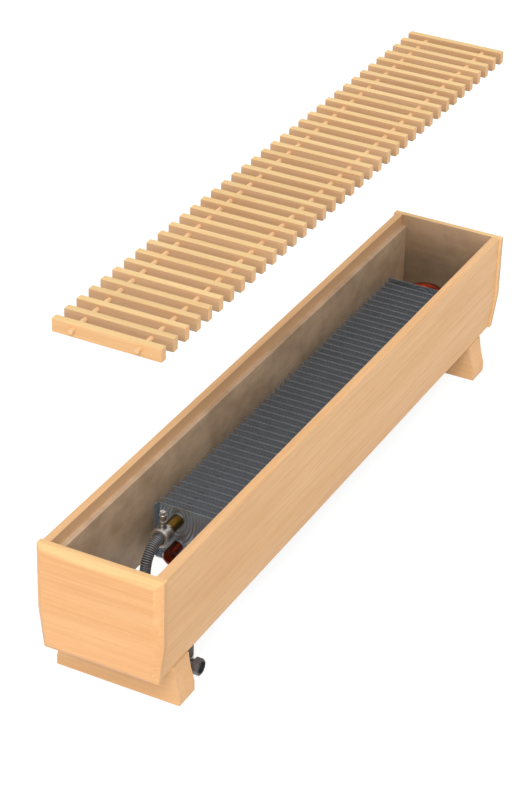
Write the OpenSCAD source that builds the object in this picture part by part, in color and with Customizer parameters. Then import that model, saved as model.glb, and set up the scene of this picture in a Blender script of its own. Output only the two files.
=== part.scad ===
// Freestanding convector heater in a wooden case.
// Length runs along X with the pipe connections at the -X end, the case is
// open above and below, and the slatted grille is drawn lifted off the case.

/* [Case] */
// Overall length over the two end boards
case_len = 1000; // [800:10:1400]
// Width over the two long boards
case_w = 164; // [160:1:200]
// Height of the rim above the floor
case_top = 202; // [196:1:230]
// Height of the lower edge of the boards above the floor
case_base = 54; // [50:1:60]
// Height at which the outer faces start to lean inwards
lean_start = 110; // [95:1:130]
// How far the outer faces lean inwards at the lower edge
lean_in = 7; // [0:0.5:8]
// Thickness of the long boards
board_t = 19; // [17:0.5:21]
// Width of the rim beside the rebate
rim_w = 11.6; // [9:0.2:13]
// Radius along the outer edge of the rim
rim_round = 3; // [1:0.5:6]
// Thickness of the end boards
end_t = 16; // [14:0.5:20]
// How far an end board stands out past each long board
end_over = 3; // [1:0.5:5]
// Width of the bevel round the outer face of an end board
bevel_w = 10; // [6:0.5:12]
// Depth of that bevel
bevel_deep = 8; // [4:0.5:9]
// Diameter of the wooden dowels in the corner joints
peg_d = 8; // [6:0.5:9]
// Length of those dowels
peg_len = 32; // [24:1:40]

/* [Feet] */
// Thickness of a foot along the case
foot_t = 37; // [30:1:44]
// Distance from the end of the case to the foot
foot_inset = 46; // [40:1:60]
// How far a foot stands out past each long board
foot_out = 3; // [1:0.5:8]
// Height of the straight lower edge of a foot
foot_edge = 14; // [6:1:20]
// Diameter of the shank of the foot screws
foot_screw_d = 5; // [4:0.5:6]
// Length of the foot screws
foot_screw_len = 52; // [48:1:60]

/* [Grille] */
// Distance from slat to slat
slat_pitch = 26; // [20:0.5:34]
// Thickness of a slat
slat_t = 10; // [7:0.5:12]
// Height of a slat
slat_h = 17; // [15:0.5:20]
// Diameter of the two dowels through the slats
rod_d = 6; // [5:0.5:7]
// Distance between the two dowels
rod_gap = 84; // [60:1:100]
// Height of the lifted grille above its seat
lift_off = 290; // [120:10:400]

/* [Heat exchanger] */
// Distance from the inner face of the end board to the first plate
conn_room = 212; // [208:1:230]
// Least distance from the far end board to the last plate
far_room = 83; // [60:1:120]
// Distance from fin to fin
fin_pitch = 14.3; // [8:0.1:20]
// Distance from the fins to each long board
fin_gap = 13; // [8:0.5:16]
// Height of the fins
fin_h = 75; // [70:1:80]
// Thickness of the fin sheet
fin_t = 0.8; // [0.5:0.1:1.2]
// Width of the folded upper edge of a fin
fin_fold = 2.4; // [1.5:0.1:4]
// Thickness of the end plates
plate_t = 1.5; // [1:0.1:2.5]
// Width of the folded edges of the end plates
plate_fold = 8; // [6:0.5:10]
// Height of the exchanger above the lower edge of the case
exch_up = 13; // [8:1:20]
// Outer diameter of the copper tubes
tube_d = 15; // [12:0.5:16]
// Wall of the copper tubes
tube_wall = 1; // [0.7:0.1:1.5]
// Distance between the tubes across the case
tube_gap_y = 46; // [40:1:50]
// How far the tubes lie in front of the middle of the fins
tube_off = 3; // [0:0.5:4]
// Distance between the upper and the lower tubes
tube_gap_z = 39; // [34:0.5:41]

/* [Connections] */
// Outer diameter of the ribbed hose over its ribs
hose_d = 14; // [12:0.5:15]
// Bore of the hose
hose_bore = 9.6; // [8:0.2:10.5]
// Distance from rib to rib
rib_pitch = 2.4; // [2.4:0.1:4]
// Width across the flats of the union nuts
nut_af = 19; // [18.5:0.5:21]
// Length of the union nuts
nut_len = 10; // [9.5:0.5:11]
// Thread diameter in the union nuts
nut_thread = 15; // [14.5:0.1:15.6]
// Diameter of the bore through the fittings
fitting_bore = 8; // [6:0.5:9]

/* [Hidden] */

// Clearances and the overrun of cuts
snug = 0.05;
loose = 0.3;
over = 1;
$fn = 48;

// Case and feet
round_steps = 5;
end_face_t = 0.2;
peg_shares = [0.18, 0.5, 0.82];
peg_sink = 9;
foot_lip = 1.5;
foot_hollow = 1.2;
foot_steps = 8;
foot_screw_bite = 24;
foot_screw_head_d = 9;
foot_screw_head_h = 3;

// Grille
rod_end_gap = 4.5;
rod_up_share = 0.6;
slat_side_gap = 0.9;

// Heat exchanger and the two bars that carry it
tube_low = 19;
tube_stub = 6;
bar_w = 20;
bar_in = 42;
bar_arm = 20;
bar_t = 2;
bar_leg = 22;
screw_d = 3.6;
screw_head_d = 7;
screw_head_h = 2.4;
bar_screw_low = 6;
bar_screw_gap = 10;
bar_screw_len = 14;
plate_screw_len = 9;
plate_screw_in = 12;

// Supply fittings, measured from the near end plate outwards
header_gap = 1;
header_d = 17;
header_len = 27;
header_neck_d = 15;
header_nut_af = 19;
header_nut_len = 5;
adapter_d = 24;
adapter_len = 11;
hose_nut_d = 25;
hose_nut_len = 5;
spigot_len = 2;
ferrule_t = 1;
ferrule_len = 5;
vent_at = 38.5;
vent_boss_d = 10.4;
vent_boss_up = 2;
vent_d = 9.5;
vent_h = 16;
vent_stem_d = 6;
vent_stem_h = 4;
vent_pin_d = 4.6;
vent_pin_h = 7;
vent_head_d = 7;
vent_head_h = 4;
slot_w = 1.2;
slot_deep = 1.5;

// Union nuts with the collar and the flat seal inside
nut_edge_in = 0.2;
nut_web = 2;
nut_bevel = 1.2;
nut_relief = 0.4;
collar_len = 1.5;
collar_gap = 0.5;
tail_d = 11;
seal_t = 1.5;

// Lockshield valve behind the near foot
valve_in = 17;
valve_up = 22;
valve_d = 20;
valve_len = 13.5;
valve_neck_d = 15;
valve_neck_len = 5;
stub_d = 16;
stub_len = 6;
bonnet_d = 13;
spindle_d = 6;
spindle_low = 2;
spindle_show = 6;
spindle_clear = 2;
cap_d = 19.5;
cap_gap = 3;
cap_lift = 0.5;
cap_top_t = 3;
cap_bevel = 1.2;
locknut_af = 20;
locknut_len = 3;
bracket_t = 2;
bracket_side = 22;
bracket_leaf = 24;
bracket_reach = 13;
bracket_screw_in = 9;
bracket_screw_gap = 12;
bracket_screw_len = 12;

// Return elbow and its bracket
elbow_in = 67;
elbow_off = 14;
elbow_axis = 30;
elbow_d = 18;
elbow_up = 22;
elbow_leg = 17;
elbow_socket = 6;
ring_d = 23;
ring_t = 2;
ring_up = 15;
shelf_w = 28;
shelf_past = 13;
shelf_leaf = 33;
shelf_screw_up = 12;
shelf_screw_gap = 15;
return_way_shares = [[0, 0, 0], [0.15, 0, 0], [0.29, 0.08, 0], [0.36, 0.35, 0], [0.39, 0.7, 0.03],
    [0.5, 0.94, 0.12], [0.66, 1, 0.22], [0.82, 1, 0.29], [0.95, 1, 0.41], [1, 1, 0.65], [1, 1, 1]];

// Ribbed hose: its way from the supply fittings to the valve, and how its rings are drawn
hose_way_shares = [[0, 0, 0], [0.085, 0, 0], [0.254, 0, 0.04], [0.385, 0, 0.15], [0.439, 0, 0.31],
    [0.528, 0.06, 0.52], [0.671, 0.17, 0.72], [0.824, 0.34, 0.86], [0.956, 0.54, 0.96], [1, 0.77, 1],
    [1, 1, 1]];
hose_sides = 8;
pipe_sides = 12;
rib_deep = 0.9;
bore_step = 5;
side_way = [1, 0, -1];

// Faces and centre lines worked out from the sizes above
half_len = case_len / 2;
half_w = case_w / 2;
foot_w = case_w + 2 * foot_out;
inner_x = half_len - end_t;
board_in = half_w - board_t;
board_low = half_w - lean_in;
rim_in = half_w - rim_w;
seat_z = case_top - slat_h;
peg_y = (board_in + board_low) / 2;
end_half = half_w + end_over;
end_low = end_half - lean_in;
foot_x = half_len - foot_inset - foot_t / 2;
foot_inner = half_len - foot_inset - foot_t;
foot_seat = case_base + foot_screw_bite - foot_screw_len;
grille_z = seat_z + loose + lift_off;
slat_half = rim_in - slat_side_gap;
slat_count = floor((2 * inner_x - slat_t) / slat_pitch) + 1;
exch_z = case_base + exch_up;
exch_x = conn_room - inner_x;
fin_w = 2 * (board_in - fin_gap);
fin_count = floor((2 * inner_x - conn_room - far_room) / fin_pitch) - 1;
exch_far = exch_x + (fin_count + 1) * fin_pitch;
tube_back = tube_gap_y / 2 - tube_off;
tube_front = tube_back - tube_gap_y;
tube_lo = exch_z + tube_low;
tube_hi = tube_lo + tube_gap_z;
tube_near = exch_x - tube_stub;
tube_far = exch_far + tube_stub;
neck_at = header_gap + header_len;
adapter_at = neck_at + header_nut_len;
hose_nut_at = adapter_at + adapter_len;
ferrule_at = hose_nut_at + spigot_len;
ferrule_d = hose_d + 2 * (ferrule_t + snug);
vent_seat = tube_hi + adapter_d / 2 + vent_boss_up;
nut_d = nut_af / cos(30);
collar_d = nut_thread - 2 * collar_gap;
thread_at = loose + nut_web + loose + collar_len + seal_t;
valve_x = valve_in - foot_inner;
valve_face = foot_w / 2 - nut_edge_in - nut_len - loose;
tail_at = valve_len + valve_neck_len;
valve_back = valve_face - tail_at;
bonnet_y = valve_back + valve_len / 2;
cap_z = valve_up + nut_d / 2 + cap_lift;
cap_h = case_base - cap_gap - cap_z;
spindle_up = case_base - cap_gap - cap_top_t - spindle_clear - valve_up;
bonnet_up = spindle_up - spindle_show;
elbow_x = elbow_in - foot_inner;
elbow_face = elbow_off + elbow_leg;
shelf_z = elbow_axis + ring_up + ring_t;
return_start = [tube_near, tube_back, tube_lo];
return_end = [elbow_x, -elbow_off, elbow_axis + elbow_up - elbow_socket];
return_way = between(return_start, return_end, return_way_shares);
hose_start = [exch_x - ferrule_at, tube_back, tube_hi];
hose_end = [valve_x, stub_len - valve_back, valve_up];
hose_way = between(hose_start, hose_end, hose_way_shares);

// Points between two ends, from the shares of the distance along X, Y and Z
function between(from, to, shares) = [for (s = shares) [for (k = [0:2]) from[k] + s[k] * (to[k] - from[k])]];

// Smooth way through a list of points whose first and last stretches are straight
function unit(v) = v / norm(v);
function pull(way, i) =
    i <= 1 ? way[1] - way[0]
    : i >= len(way) - 2 ? way[len(way) - 1] - way[len(way) - 2]
    : (way[i + 1] - way[i - 1]) / 2;
function spot(way, i, t) =
    (1 + 2 * t) * pow(1 - t, 2) * way[i] + t * pow(1 - t, 2) * pull(way, i)
    + t * t * (3 - 2 * t) * way[i + 1] + t * t * (t - 1) * pull(way, i + 1);
function heading(way, i, t) =
    unit(6 * t * (t - 1) * way[i] + (3 * t * t - 4 * t + 1) * pull(way, i)
    + 6 * t * (1 - t) * way[i + 1] + (3 * t * t - 2 * t) * pull(way, i + 1));
function ring(way, i, t, r, sides) =
    let (c = spot(way, i, t), d = heading(way, i, t))
    let (u = unit(side_way - (side_way * d) * d), v = cross(d, u))
    [for (k = [0:sides - 1]) c + r * (cos(360 * k / sides) * u + sin(360 * k / sides) * v)];
function span_count(way, i, step) = max(1, round(norm(way[i + 1] - way[i]) / step));
function plain_rings(way, r, step, sides) =
    [for (i = [0:len(way) - 2], n = span_count(way, i, step), j = [0:n - 1]) ring(way, i, j / n, r, sides),
        ring(way, len(way) - 2, 1, r, sides)];
function ribbed_rings(way, r, deep, step, sides) =
    [for (i = [0:len(way) - 2], n = 2 * span_count(way, i, step), j = [0:n - 1])
            ring(way, i, j / n, r - (j % 2 == 0 ? deep : 0), sides),
        ring(way, len(way) - 2, 1, r - deep, sides)];
function strip(a, b, sides) =
    [for (k = [0:sides - 1], h = (k + 1) % sides, f = [[a + k, b + k, b + h], [a + k, b + h, a + h]]) f];

// Tube with an outer and an inner skin, each a list of rings
module tube_form(outer, inner, sides) {
    shift = len(outer) * sides;
    last_out = (len(outer) - 1) * sides;
    last_in = shift + (len(inner) - 1) * sides;
    points = [for (r = outer, p = r) p, for (r = inner, p = r) p];
    skin = [for (i = [0:len(outer) - 2], f = strip(i * sides, (i + 1) * sides, sides)) f];
    bore = [for (i = [0:len(inner) - 2], f = strip(shift + (i + 1) * sides, shift + i * sides, sides)) f];
    polyhedron(points, concat(skin, bore, strip(shift, 0, sides), strip(last_out, last_in, sides)));
}

// Parts that repeat
module screw(d, length, head_d, head_h) {
    cylinder(d = d, h = length);
    translate([0, 0, -head_h])
        cylinder(d = head_d, h = head_h);
}

module hex_nut(af, length, bevel) {
    intersection() {
        cylinder(d = af / cos(30), h = length, $fn = 6);
        rotate_extrude()
            polygon([[0, 0], [af / cos(30) / 2 - bevel, 0], [af / cos(30) / 2, bevel / 2],
                [af / cos(30) / 2, length - bevel / 2], [af / cos(30) / 2 - bevel, length], [0, length]]);
    }
}

module along_case(length) {
    rotate([90, 0, 90])
        translate([0, 0, -length / 2])
            linear_extrude(length)
                children();
}

module peg_places() {
    for (end = [-1, 1], side = [-1, 1], s = peg_shares)
        translate([end * (inner_x + peg_sink), side * peg_y, case_base + s * (case_top - case_base)])
            rotate([0, -end * 90, 0])
                children();
}

module foot_screw_places() {
    for (end = [-1, 1], side = [-1, 1])
        translate([end * foot_x, side * peg_y, foot_seat])
            children();
}

module bar_screw_places() {
    for (x = [exch_x + bar_in, exch_far - bar_in], side = [-1, 1], k = [0, 1])
        translate([x, side * (board_in - bar_t), exch_z + bar_screw_low + k * bar_screw_gap])
            rotate([-side * 90, 0, 0])
                children();
}

module plate_screw_places() {
    for (x = [exch_x - plate_fold / 2, exch_far + plate_fold / 2], side = [-1, 1])
        translate([x, side * (fin_w / 2 - plate_screw_in), exch_z + plate_t])
            rotate([180, 0, 0])
                children();
}

module tube_places() {
    for (y = [tube_front, tube_back], z = [tube_lo, tube_hi])
        translate([0, y, z])
            rotate([0, 90, 0])
                children();
}

module supply_line() {
    translate([exch_x, tube_back, tube_hi])
        rotate([0, -90, 0])
            children();
}

module vent_line() {
    translate([exch_x - vent_at, tube_back, vent_seat])
        children();
}

module valve_line() {
    translate([valve_x, -valve_back, valve_up])
        rotate([90, 0, 0])
            children();
}

module elbow_line() {
    translate([elbow_x, -elbow_face, elbow_axis])
        rotate([90, 0, 0])
            children();
}

module bonnet_line() {
    translate([valve_x, -bonnet_y, valve_up])
        children();
}

module foot_bracket_screw_places() {
    for (k = [-1, 1])
        translate([bracket_t - foot_inner, bracket_leaf - valve_back - bracket_screw_in,
            valve_up + k * bracket_screw_gap / 2])
            rotate([0, -90, 0])
                children();
}

module shelf_screw_places() {
    for (k = [-1, 1])
        translate([elbow_x + k * shelf_screw_gap / 2, bracket_t - board_in, case_base + shelf_screw_up])
            rotate([90, 0, 0])
                children();
}

// Case
module board_outline() {
    polygon([[board_in, case_base], [board_low, case_base], [half_w, lean_start],
        for (k = [0:round_steps])
            [half_w - rim_round + rim_round * cos(90 * k / round_steps),
                case_top - rim_round + rim_round * sin(90 * k / round_steps)],
        [rim_in, case_top], [rim_in, seat_z], [board_in, seat_z]]);
}

module long_board() {
    difference() {
        along_case(2 * inner_x)
            board_outline();
        peg_places()
            cylinder(d = peg_d + 2 * snug, h = peg_len + snug);
        foot_screw_places()
            cylinder(d = foot_screw_d + 2 * snug, h = foot_screw_len + snug);
        bar_screw_places()
            cylinder(d = screw_d + 2 * snug, h = bar_screw_len + snug);
    }
}

module back_board() {
    color([0.80, 0.64, 0.45])
        long_board();
}

module front_board() {
    color([0.80, 0.64, 0.45])
        difference() {
            mirror([0, 1, 0])
                long_board();
            shelf_screw_places()
                cylinder(d = screw_d + 2 * snug, h = bracket_screw_len + snug);
        }
}

module end_outline() {
    polygon([[-end_low, case_base], [end_low, case_base], [end_half, lean_start],
        for (k = [0:round_steps])
            [end_half - rim_round + rim_round * cos(90 * k / round_steps),
                case_top - rim_round + rim_round * sin(90 * k / round_steps)],
        for (k = [0:round_steps])
            [rim_round - end_half - rim_round * sin(90 * k / round_steps),
                case_top - rim_round + rim_round * cos(90 * k / round_steps)],
        [-end_half, lean_start]]);
}

module end_board() {
    difference() {
        rotate([90, 0, 90])
            hull() {
                translate([0, 0, inner_x])
                    linear_extrude(end_t - bevel_deep)
                        end_outline();
                translate([0, 0, half_len - end_face_t])
                    linear_extrude(end_face_t)
                        offset(delta = -bevel_w)
                            end_outline();
            }
        peg_places()
            translate([0, 0, -snug])
                cylinder(d = peg_d + 2 * snug, h = peg_len);
    }
}

module far_end_board() {
    color([0.84, 0.69, 0.50])
        end_board();
}

module near_end_board() {
    color([0.84, 0.69, 0.50])
        mirror([1, 0, 0])
            end_board();
}

module corner_dowels() {
    color([0.72, 0.55, 0.36])
        peg_places()
            cylinder(d = peg_d, h = peg_len);
}

// Feet
module foot_outline() {
    side = [for (k = [0:foot_steps])
        [foot_w / 2 + (board_low + foot_lip - foot_w / 2) * k / foot_steps
                - foot_hollow * sin(180 * k / foot_steps),
            foot_edge + (case_base - foot_edge) * k / foot_steps]];
    polygon([[-foot_w / 2, 0], [foot_w / 2, 0], for (p = side) p,
        for (k = [foot_steps:-1:0]) [-side[k][0], side[k][1]]]);
}

module foot() {
    difference() {
        translate([foot_x, 0, 0])
            along_case(foot_t)
                foot_outline();
        foot_screw_places() {
            cylinder(d = foot_screw_d + 2 * snug, h = foot_screw_len);
            translate([0, 0, -foot_seat - over])
                cylinder(d = foot_screw_head_d + 2 * loose, h = foot_seat + over);
        }
    }
}

module far_foot() {
    color([0.78, 0.62, 0.43])
        foot();
}

module near_foot() {
    color([0.78, 0.62, 0.43])
        difference() {
            mirror([1, 0, 0])
                foot();
            foot_bracket_screw_places()
                cylinder(d = screw_d + 2 * snug, h = bracket_screw_len + snug);
        }
}

module foot_screws() {
    color([0.72, 0.72, 0.70])
        foot_screw_places()
            screw(foot_screw_d, foot_screw_len, foot_screw_head_d, foot_screw_head_h);
}

// Grille
module rod_places() {
    for (side = [-1, 1])
        translate([0, side * rod_gap / 2, grille_z + rod_up_share * slat_h])
            rotate([0, 90, 0])
                children();
}

module grille_slats() {
    color([0.86, 0.72, 0.53])
        difference() {
            for (k = [0:slat_count - 1])
                translate([(k - (slat_count - 1) / 2) * slat_pitch - slat_t / 2, -slat_half, grille_z])
                    cube([slat_t, 2 * slat_half, slat_h]);
            rod_places()
                cylinder(d = rod_d + 2 * snug, h = case_len, center = true);
        }
}

module grille_rods() {
    color([0.76, 0.60, 0.41])
        rod_places()
            cylinder(d = rod_d, h = 2 * (inner_x - rod_end_gap), center = true);
}

// Heat exchanger
module fins() {
    color([0.74, 0.74, 0.73])
        for (k = [1:fin_count])
            difference() {
                translate([exch_x + k * fin_pitch, 0, 0]) {
                    translate([0, -fin_w / 2, exch_z])
                        cube([fin_t, fin_w, fin_h]);
                    translate([fin_t - fin_fold, -fin_w / 2, exch_z + fin_h - fin_t])
                        cube([fin_fold, fin_w, fin_t]);
                }
                tube_places()
                    translate([0, 0, exch_x + k * fin_pitch - over])
                        cylinder(d = tube_d + 2 * snug, h = fin_t + 2 * over);
            }
}

module end_plate() {
    difference() {
        union() {
            translate([exch_far - plate_t, -fin_w / 2, exch_z])
                cube([plate_t, fin_w, fin_h]);
            for (y = [-fin_w / 2, fin_w / 2 - plate_t])
                translate([exch_far - plate_t, y, exch_z])
                    cube([plate_fold + plate_t, plate_t, fin_h]);
            translate([exch_far - plate_t, -fin_w / 2, exch_z])
                cube([plate_fold + plate_t, fin_w, plate_t]);
        }
        tube_places()
            translate([0, 0, exch_far - plate_t - over])
                cylinder(d = tube_d + 2 * snug, h = plate_t + 2 * over);
        plate_screw_places()
            translate([0, 0, -over])
                cylinder(d = screw_d + 2 * snug, h = plate_t + 2 * over);
    }
}

module far_end_plate() {
    color([0.78, 0.78, 0.77])
        end_plate();
}

module near_end_plate() {
    color([0.78, 0.78, 0.77])
        translate([exch_x + exch_far, 0, 0])
            mirror([1, 0, 0])
                end_plate();
}

module copper_tubes() {
    color([0.66, 0.34, 0.22])
        tube_places()
            difference() {
                translate([0, 0, tube_near])
                    cylinder(d = tube_d, h = tube_far - tube_near);
                translate([0, 0, tube_near - over])
                    cylinder(d = tube_d - 2 * tube_wall, h = tube_far - tube_near + 2 * over);
            }
}

module bend(radius) {
    rotate_extrude(angle = 180)
        translate([radius, 0])
            difference() {
                circle(d = tube_d);
                circle(d = tube_d - 2 * tube_wall);
            }
}

module far_bends() {
    color([0.66, 0.34, 0.22])
        for (z = [tube_lo, tube_hi])
            translate([tube_far, -tube_off, z])
                rotate([0, 0, -90])
                    bend(tube_gap_y / 2);
}

module near_bend() {
    color([0.66, 0.34, 0.22])
        translate([tube_near, tube_front, (tube_lo + tube_hi) / 2])
            rotate([90, 0, 0])
                rotate([0, 0, 90])
                    bend(tube_gap_z / 2);
}

module support_bars() {
    color([0.60, 0.61, 0.62])
        difference() {
            union() {
                for (x = [exch_x + bar_in, exch_far - bar_in])
                    translate([x - bar_w / 2, 0, 0]) {
                        translate([0, -board_in, exch_z - bar_t])
                            cube([bar_w, 2 * board_in, bar_t]);
                        for (y = [-board_in, board_in - bar_t])
                            translate([0, y, exch_z - bar_t])
                                cube([bar_w, bar_t, bar_leg + bar_t]);
                    }
                for (x = [exch_x - plate_fold, exch_far - bar_in], side = [-1, 1])
                    translate([x, side * (fin_w / 2 - plate_screw_in) - bar_arm / 2, exch_z - bar_t])
                        cube([plate_fold + bar_in, bar_arm, bar_t]);
            }
            bar_screw_places()
                translate([0, 0, -over])
                    cylinder(d = screw_d + 2 * snug, h = bar_t + 2 * over);
            plate_screw_places()
                cylinder(d = screw_d + 2 * snug, h = plate_screw_len + over);
        }
}

module bar_screws() {
    color([0.72, 0.72, 0.70])
        bar_screw_places()
            screw(screw_d, bar_screw_len, screw_head_d, screw_head_h);
}

module plate_screws() {
    color([0.72, 0.72, 0.70])
        plate_screw_places()
            screw(screw_d, plate_screw_len, screw_head_d, screw_head_h);
}

// Supply side fittings
module supply_header() {
    color([0.78, 0.62, 0.30])
        supply_line()
            difference() {
                union() {
                    translate([0, 0, header_gap])
                        cylinder(d = header_d, h = header_len);
                    translate([0, 0, neck_at])
                        cylinder(d = header_neck_d, h = header_nut_len);
                }
                cylinder(d = tube_d + 2 * snug, h = tube_stub);
                cylinder(d = fitting_bore, h = adapter_at + over);
            }
}

module header_nut() {
    color([0.72, 0.71, 0.68])
        supply_line()
            difference() {
                translate([0, 0, neck_at])
                    rotate([0, 0, 30])
                        hex_nut(header_nut_af, header_nut_len, nut_bevel);
                cylinder(d = header_neck_d + 2 * snug, h = adapter_at + over);
            }
}

module hose_adapter() {
    color([0.62, 0.62, 0.60])
        difference() {
            union() {
                supply_line() {
                    translate([0, 0, adapter_at])
                        cylinder(d = adapter_d, h = adapter_len);
                    translate([0, 0, hose_nut_at])
                        cylinder(d = ferrule_d, h = spigot_len);
                }
                translate([exch_x - vent_at, tube_back, tube_hi])
                    cylinder(d = vent_boss_d, h = vent_seat - tube_hi);
            }
            supply_line()
                cylinder(d = hose_bore, h = ferrule_at + over);
            vent_line()
                translate([0, 0, -vent_stem_h])
                    cylinder(d = vent_stem_d + 2 * snug, h = vent_stem_h + over);
        }
}

module hose_nut() {
    color([0.80, 0.80, 0.78])
        supply_line()
            difference() {
                translate([0, 0, hose_nut_at])
                    cylinder(d = hose_nut_d, h = hose_nut_len);
                cylinder(d = ferrule_d + 2 * snug, h = hose_nut_at + hose_nut_len + over);
            }
}

module vent_body() {
    color([0.70, 0.70, 0.68])
        vent_line()
            difference() {
                union() {
                    cylinder(d = vent_d, h = vent_h);
                    translate([0, 0, -vent_stem_h])
                        cylinder(d = vent_stem_d, h = vent_stem_h);
                }
                translate([0, 0, vent_h - vent_pin_h])
                    cylinder(d = vent_pin_d + 2 * snug, h = vent_pin_h + over);
            }
}

module vent_screw() {
    color([0.86, 0.86, 0.84])
        vent_line()
            translate([0, 0, vent_h + loose])
                difference() {
                    union() {
                        cylinder(d = vent_head_d, h = vent_head_h);
                        translate([0, 0, -vent_pin_h])
                            cylinder(d = vent_pin_d, h = vent_pin_h);
                    }
                    translate([-vent_d, -slot_w / 2, vent_head_h - slot_deep])
                        cube([2 * vent_d, slot_w, slot_deep + over]);
                }
}

module ferrule() {
    difference() {
        cylinder(d = ferrule_d, h = ferrule_len);
        translate([0, 0, -over])
            cylinder(d = hose_d + 2 * snug, h = ferrule_len + 2 * over);
    }
}

module hose_ferrules() {
    color([0.20, 0.20, 0.21]) {
        supply_line()
            translate([0, 0, ferrule_at])
                ferrule();
        valve_line()
            translate([0, 0, -stub_len - ferrule_len])
                ferrule();
    }
}

module supply_hose() {
    color([0.24, 0.24, 0.26])
        tube_form(ribbed_rings(hose_way, hose_d / 2, rib_deep, rib_pitch, hose_sides),
            plain_rings(hose_way, hose_bore / 2, bore_step, hose_sides), hose_sides);
}

// Lockshield valve
module lockshield_body() {
    color([0.70, 0.70, 0.68])
        difference() {
            union() {
                valve_line() {
                    cylinder(d = valve_d, h = valve_len);
                    translate([0, 0, -stub_len])
                        cylinder(d = stub_d, h = stub_len);
                    cylinder(d = valve_neck_d, h = tail_at);
                    translate([0, 0, tail_at])
                        nut_tail();
                }
                bonnet_line()
                    cylinder(d = bonnet_d, h = bonnet_up);
            }
            valve_line()
                translate([0, 0, -stub_len - over])
                    cylinder(d = fitting_bore, h = stub_len + tail_at + nut_len + over);
            bonnet_line()
                cylinder(d = spindle_d + 2 * snug, h = bonnet_up + over);
        }
}

module nut_tail() {
    cylinder(d = tail_d, h = loose + nut_web + loose);
    translate([0, 0, loose + nut_web + loose])
        cylinder(d = collar_d, h = collar_len);
}

module union_nut() {
    difference() {
        translate([0, 0, loose])
            hex_nut(nut_af, nut_len, nut_bevel);
        cylinder(d = tail_d + 2 * snug, h = nut_len);
        translate([0, 0, loose + nut_web])
            cylinder(d = nut_thread + 2 * nut_relief, h = thread_at - loose - nut_web);
        translate([0, 0, loose + nut_web])
            cylinder(d = nut_thread, h = nut_len);
    }
}

module seal() {
    translate([0, 0, loose + nut_web + loose + collar_len])
        difference() {
            cylinder(d = collar_d, h = seal_t);
            translate([0, 0, -over])
                cylinder(d = fitting_bore, h = seal_t + 2 * over);
        }
}

module lockshield_spindle() {
    color([0.78, 0.62, 0.30])
        bonnet_line()
            difference() {
                translate([0, 0, -spindle_low])
                    cylinder(d = spindle_d, h = spindle_low + spindle_up);
                translate([-spindle_d, -slot_w / 2, spindle_up - slot_deep])
                    cube([2 * spindle_d, slot_w, slot_deep + over]);
            }
}

module lockshield_cap() {
    color([0.13, 0.13, 0.14])
        translate([valve_x, -bonnet_y, cap_z])
            difference() {
                rotate_extrude()
                    polygon([[0, 0], [cap_d / 2, 0], [cap_d / 2, cap_h - cap_bevel],
                        [cap_d / 2 - cap_bevel, cap_h], [0, cap_h]]);
                translate([0, 0, -over])
                    cylinder(d = bonnet_d + 2 * loose, h = cap_h - cap_top_t + over);
            }
}

module supply_nut() {
    color([0.15, 0.15, 0.16])
        valve_line()
            translate([0, 0, tail_at])
                union_nut();
}

module valve_locknut() {
    color([0.70, 0.70, 0.68])
        valve_line()
            difference() {
                translate([0, 0, -bracket_t - locknut_len])
                    cylinder(d = locknut_af / cos(30), h = locknut_len, $fn = 6);
                translate([0, 0, -stub_len])
                    cylinder(d = stub_d + 2 * snug, h = stub_len);
            }
}

module valve_bracket() {
    color([0.60, 0.61, 0.62])
        difference() {
            translate([-foot_inner, -valve_back, valve_up - bracket_side / 2]) {
                cube([bracket_t, bracket_leaf, bracket_side]);
                cube([valve_in + bracket_reach, bracket_t, bracket_side]);
            }
            valve_line()
                translate([0, 0, -stub_len])
                    cylinder(d = stub_d + 2 * snug, h = 2 * stub_len);
            foot_bracket_screw_places()
                translate([0, 0, -over])
                    cylinder(d = screw_d + 2 * snug, h = bracket_t + 2 * over);
        }
}

// Return side
module return_pipe() {
    color([0.66, 0.34, 0.22])
        tube_form(plain_rings(return_way, tube_d / 2, bore_step, pipe_sides),
            plain_rings(return_way, tube_d / 2 - tube_wall, bore_step, pipe_sides), pipe_sides);
}

module return_elbow() {
    color([0.70, 0.70, 0.68])
        difference() {
            union() {
                translate([elbow_x, -elbow_off, elbow_axis]) {
                    sphere(d = elbow_d);
                    cylinder(d = elbow_d, h = elbow_up);
                    rotate([90, 0, 0])
                        cylinder(d = elbow_d, h = elbow_leg);
                    translate([0, 0, ring_up])
                        cylinder(d = ring_d, h = ring_t);
                }
                elbow_line()
                    nut_tail();
            }
            translate([elbow_x, -elbow_off, elbow_axis]) {
                cylinder(d = fitting_bore, h = elbow_up + over);
                rotate([90, 0, 0])
                    cylinder(d = fitting_bore, h = elbow_leg + nut_len);
                translate([0, 0, elbow_up - elbow_socket])
                    cylinder(d = tube_d + 2 * snug, h = elbow_socket + over);
            }
        }
}

module return_nut() {
    color([0.15, 0.15, 0.16])
        elbow_line()
            union_nut();
}

module nut_seals() {
    color([0.30, 0.28, 0.26]) {
        elbow_line()
            seal();
        valve_line()
            translate([0, 0, tail_at])
                seal();
    }
}

module return_bracket() {
    color([0.60, 0.61, 0.62])
        difference() {
            translate([elbow_x - shelf_w / 2, -board_in, shelf_z]) {
                cube([shelf_w, board_in - elbow_off + shelf_past, bracket_t]);
                cube([shelf_w, bracket_t, shelf_leaf]);
            }
            translate([elbow_x, -elbow_off, shelf_z - over])
                cylinder(d = elbow_d + 2 * snug, h = bracket_t + 2 * over);
            shelf_screw_places()
                translate([0, 0, -over])
                    cylinder(d = screw_d + 2 * snug, h = bracket_t + 2 * over);
        }
}

module bracket_screws() {
    color([0.72, 0.72, 0.70]) {
        foot_bracket_screw_places()
            screw(screw_d, bracket_screw_len, screw_head_d, screw_head_h);
        shelf_screw_places()
            screw(screw_d, bracket_screw_len, screw_head_d, screw_head_h);
    }
}

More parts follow.
